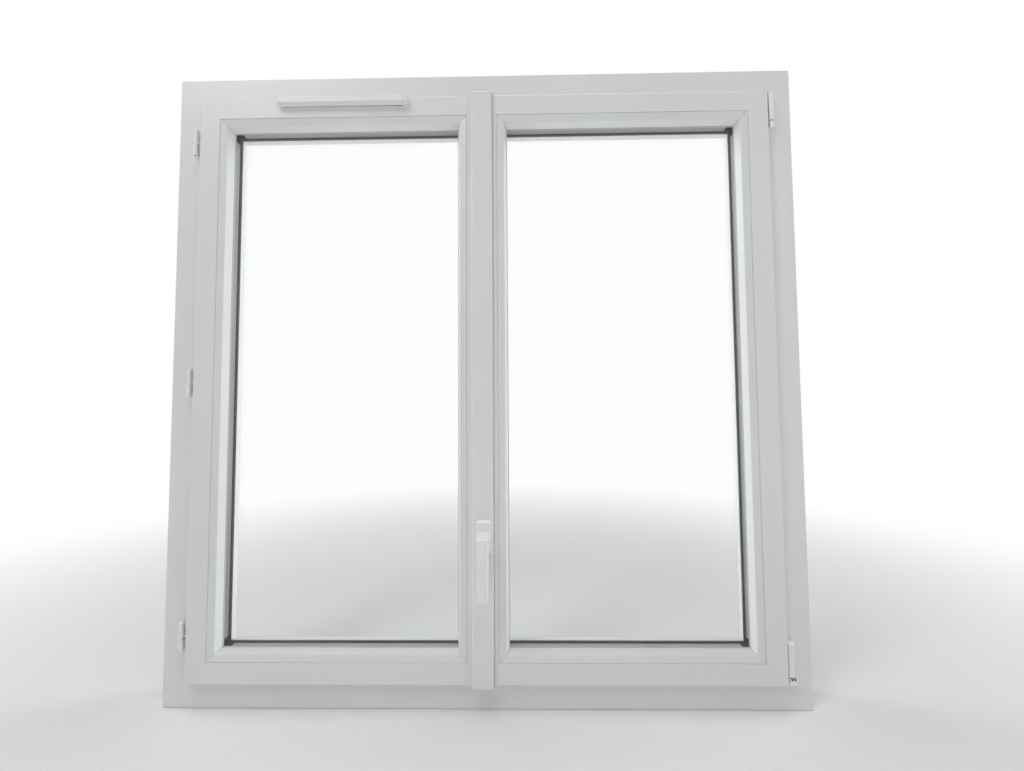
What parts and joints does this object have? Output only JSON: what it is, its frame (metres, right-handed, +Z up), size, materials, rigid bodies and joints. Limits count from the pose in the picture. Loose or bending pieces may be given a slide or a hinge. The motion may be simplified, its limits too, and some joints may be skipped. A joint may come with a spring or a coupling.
{
  "type": "double casement window",
  "caption": "Double casement window, opening into the room: hollow mitred plastic frame and sashes, insulating glass, centre strip with lever handle, side hinges and a rail vent.",
  "frame": {"origin": "middle of the frame's underside: midway along the sill member and midway through its depth", "axes": "+Z up, +X to the right as seen from the room, +Y out of doors; the room side faces -Y"},
  "size_m": [1.3, 0.152, 1.31],
  "materials": {
    "white_profile": "satin white plastic profile",
    "black_seal": "matt black",
    "clear_glass": "clear float glass",
    "dark_spacer": "satin grey metal bar",
    "handle_white": "satin white powder coat",
    "hinge_white": "satin white coat",
    "pin_steel": "plain steel",
    "vent_white": "satin white moulding"
  },
  "bodies": {
    "root": {"frame_head": "white_profile", "frame_sill": "white_profile", "frame_left_jamb": "white_profile", "frame_right_jamb": "white_profile", "left_sash_top_rail": "white_profile", "left_sash_bottom_rail": "white_profile", "left_sash_hinge_stile": "white_profile", "left_sash_meeting_stile": "white_profile", "right_sash_top_rail": "white_profile", "right_sash_bottom_rail": "white_profile", "right_sash_hinge_stile": "white_profile", "right_sash_meeting_stile": "white_profile", "left_beads_level": "white_profile", "left_beads_upright": "white_profile", "right_beads_level": "white_profile", "right_beads_upright": "white_profile", "meeting_profile": "white_profile", "centre_strip": "white_profile", "strip_end_caps": "white_profile", "frame_seal": "black_seal", "left_flange_seal": "black_seal", "right_flange_seal": "black_seal", "left_glazing_gaskets": "black_seal", "right_glazing_gaskets": "black_seal", "meeting_seal": "black_seal", "left_inner_pane": "clear_glass", "left_outer_pane": "clear_glass", "right_inner_pane": "clear_glass", "right_outer_pane": "clear_glass", "left_spacer": "dark_spacer", "right_spacer": "dark_spacer", "handle_rosette": "handle_white", "handle_lever": "handle_white", "left_hinge_frame_halves": "hinge_white", "left_hinge_sash_halves": "hinge_white", "right_stay_bearing": "hinge_white", "right_stay_cover": "hinge_white", "right_corner_base": "hinge_white", "right_corner_cover": "hinge_white", "left_hinge_pins": "pin_steel", "vent_cover": "vent_white", "vent_end_caps": "vent_white", "vent_hood": "vent_white", "drain_covers": "vent_white"}
  },
  "joints": []
}
